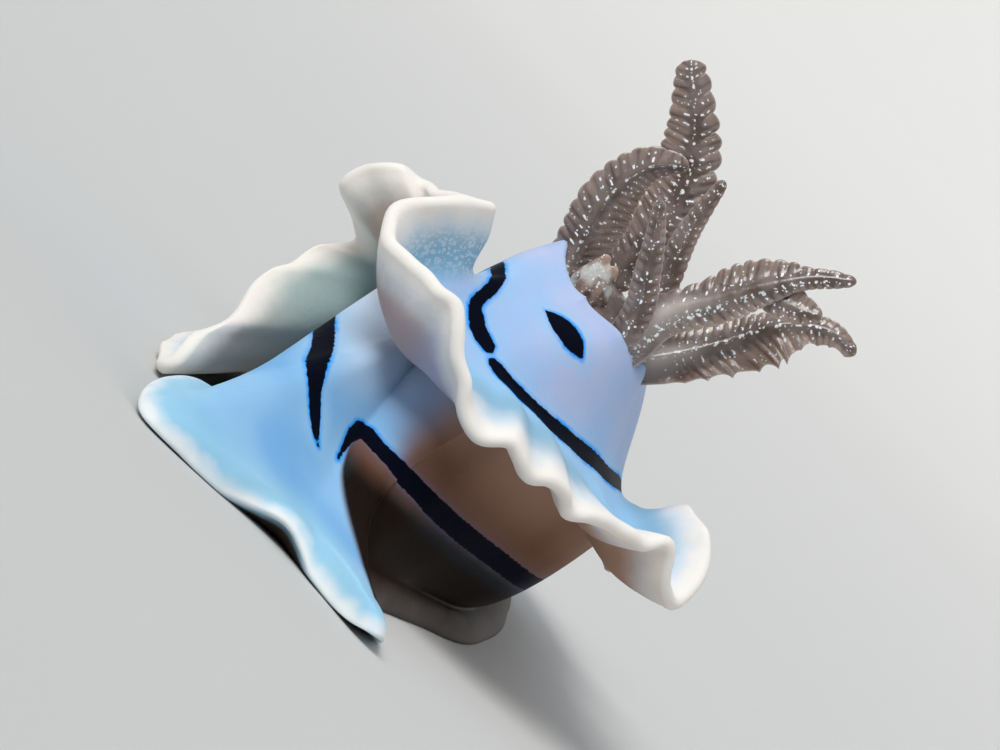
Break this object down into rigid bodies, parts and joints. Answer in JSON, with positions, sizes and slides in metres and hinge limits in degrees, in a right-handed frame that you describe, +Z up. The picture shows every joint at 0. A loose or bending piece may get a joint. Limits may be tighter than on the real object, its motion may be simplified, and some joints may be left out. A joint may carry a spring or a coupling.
{
  "type": "sea slug",
  "caption": "Life-size still model of a chromodorid sea slug crawling on a floor, with a frilled mantle, a ring of gills, clubbed rhinophores and a broad tail.",
  "frame": {"origin": "on the floor, on the flat sole, under the ring of gills", "axes": "+X from tail to head, +Y to the animal's left, +Z up"},
  "size_m": [0.0403, 0.015, 0.0164],
  "materials": {
    "skin": "satin, moist",
    "flank_skin": "satin, moist",
    "foot_skin": "satin, moist",
    "gill": "wet, translucent",
    "papilla": "satin, moist",
    "rhinophore": "wet, translucent"
  },
  "bodies": {
    "root": {"mantle_rear": "skin", "mantle_middle": "skin", "mantle_front": "skin", "body_rear": "flank_skin", "body_middle": "flank_skin", "head": "flank_skin", "foot_rear": "foot_skin", "foot_middle": "foot_skin", "foot_front": "foot_skin", "tail": "foot_skin", "gill_rear_inner": "gill", "gill_rear_right": "gill", "gill_right_rear": "gill", "gill_right_front": "gill", "gill_front_right": "gill", "gill_front": "gill", "gill_front_left": "gill", "gill_left": "gill", "anal_papilla": "papilla", "rhinophore_left": "rhinophore", "rhinophore_right": "rhinophore", "snout": "foot_skin", "oral_tentacle_left": "foot_skin", "oral_tentacle_right": "foot_skin"}
  },
  "joints": []
}
